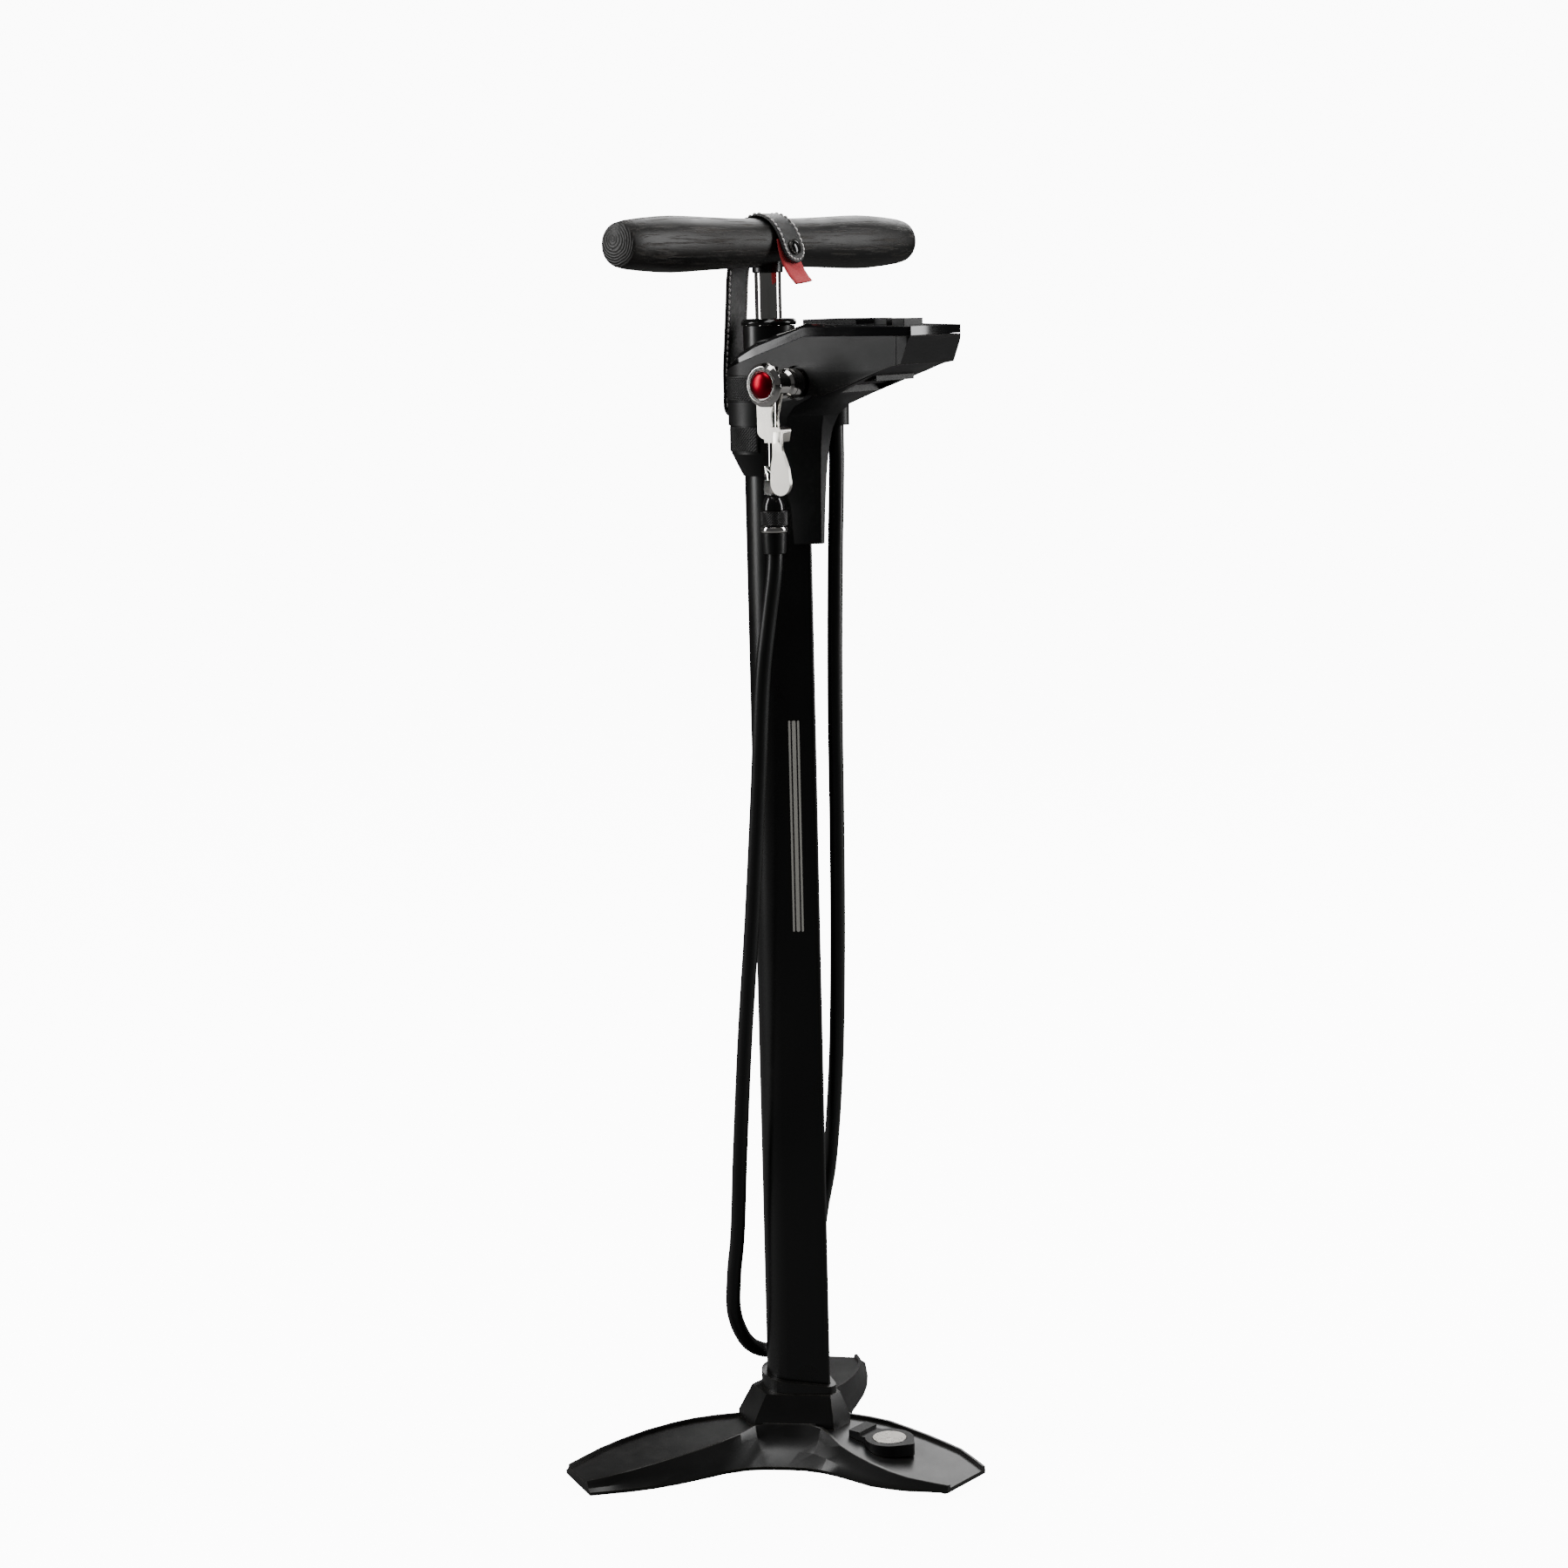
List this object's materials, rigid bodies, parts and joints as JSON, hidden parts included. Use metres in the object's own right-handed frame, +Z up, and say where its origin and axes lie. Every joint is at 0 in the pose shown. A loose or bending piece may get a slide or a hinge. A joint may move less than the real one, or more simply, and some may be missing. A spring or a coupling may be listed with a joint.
{
  "type": "floor bike pump",
  "caption": "Upright floor pump: three-legged cast base, teardrop barrel, wooden bar handle, digital gauge head, hose and a lever chuck parked on the head.",
  "frame": {"origin": "on the floor, at the centre of the box round the solid parts without hose and chuck", "axes": "+Z up along the barrel, +X the way the gauge arm points, Y along the handle bar"},
  "size_m": [0.2116, 0.2708, 0.7428],
  "materials": {
    "casting": "satin black powder coat on a light-alloy casting",
    "barrel": "satin black anodised extrusion",
    "head_plastic": "fine matte black moulding",
    "smoked_cover": "glossy smoked black",
    "lcd": "reflective display panel",
    "board": "circuit board",
    "rubber": "matte black rubber",
    "hose_rubber": "smooth black rubber with a soft sheen",
    "chrome": "bright chrome plate",
    "polished_steel": "polished cast steel",
    "red_anodised": "red anodised satin gloss",
    "ash": "black stained open-grain ash, oiled",
    "leather": "black bridle leather with pale edge stitching",
    "webbing": "red ribbed webbing",
    "magnet": "turned nickel-plated face",
    "gloss_ring": "gloss black"
  },
  "bodies": {
    "stand": {"barrel": "barrel", "base_casting": "casting", "foot_pad_front": "rubber", "foot_pad_left": "rubber", "foot_pad_right": "rubber", "dock_holder": "head_plastic", "dock_magnet": "magnet", "grip_band_upper": "head_plastic", "grip_band_lower": "head_plastic", "head_body": "head_plastic", "head_front_cap": "head_plastic", "battery_box": "head_plastic", "gauge_cover": "smoked_cover", "display_frame": "smoked_cover", "display_window": "smoked_cover", "display_panel": "lcd", "gauge_board": "board", "rod_guide": "barrel", "cap_ring": "gloss_ring", "hose_union": "head_plastic", "chuck_mouth": "chrome", "chuck_body": "chrome", "chuck_face": "chrome", "chuck_dome": "red_anodised", "chuck_stem": "chrome", "stem_nut": "chrome", "stem_boot": "gloss_ring", "knurl_ring": "head_plastic", "flange_ring": "chrome", "hose_ferrule": "head_plastic", "hose": "hose_rubber"},
    "lift": {"handle": "ash", "rod_collar": "barrel", "piston_rod": "chrome", "piston": "polished_steel", "piston_seal": "leather"},
    "keeper": {"strap": "leather", "snap_ring": "chrome", "snap_cap": "gloss_ring", "pull_tab": "webbing"},
    "mode_key": {"button_mode": "head_plastic"},
    "power_key": {"button_power": "head_plastic"},
    "chuck_lever": {"chuck_lever": "polished_steel"}
  },
  "joints": [
    {"name": "pump_stroke", "type": "slide", "parent": "stand", "child": "lift", "axis": [0, 0, 1], "range_m": [0, 0.47]},
    {"name": "keeper_open", "type": "hinge", "parent": "stand", "child": "keeper", "pos_m": [-0.04677, 0, 0.629], "axis": [0, -1, 0], "range_deg": [0, 75], "deforming": ["strap", "snap_ring", "snap_cap", "pull_tab"]},
    {"name": "mode_press", "type": "slide", "parent": "stand", "child": "mode_key", "axis": [0, 0, -1], "range_m": [0, 0.0008], "stiffness_N_per_m": 400, "springref_m": -0.0008},
    {"name": "power_press", "type": "slide", "parent": "stand", "child": "power_key", "axis": [0, 0, -1], "range_m": [0, 0.0008], "stiffness_N_per_m": 400, "springref_m": -0.0008},
    {"name": "chuck_lever_swing", "type": "hinge", "parent": "stand", "child": "chuck_lever", "pos_m": [0.01633, -0.048, 0.6472], "axis": [0, -1, 0], "range_deg": [0, 95]}
  ]
}
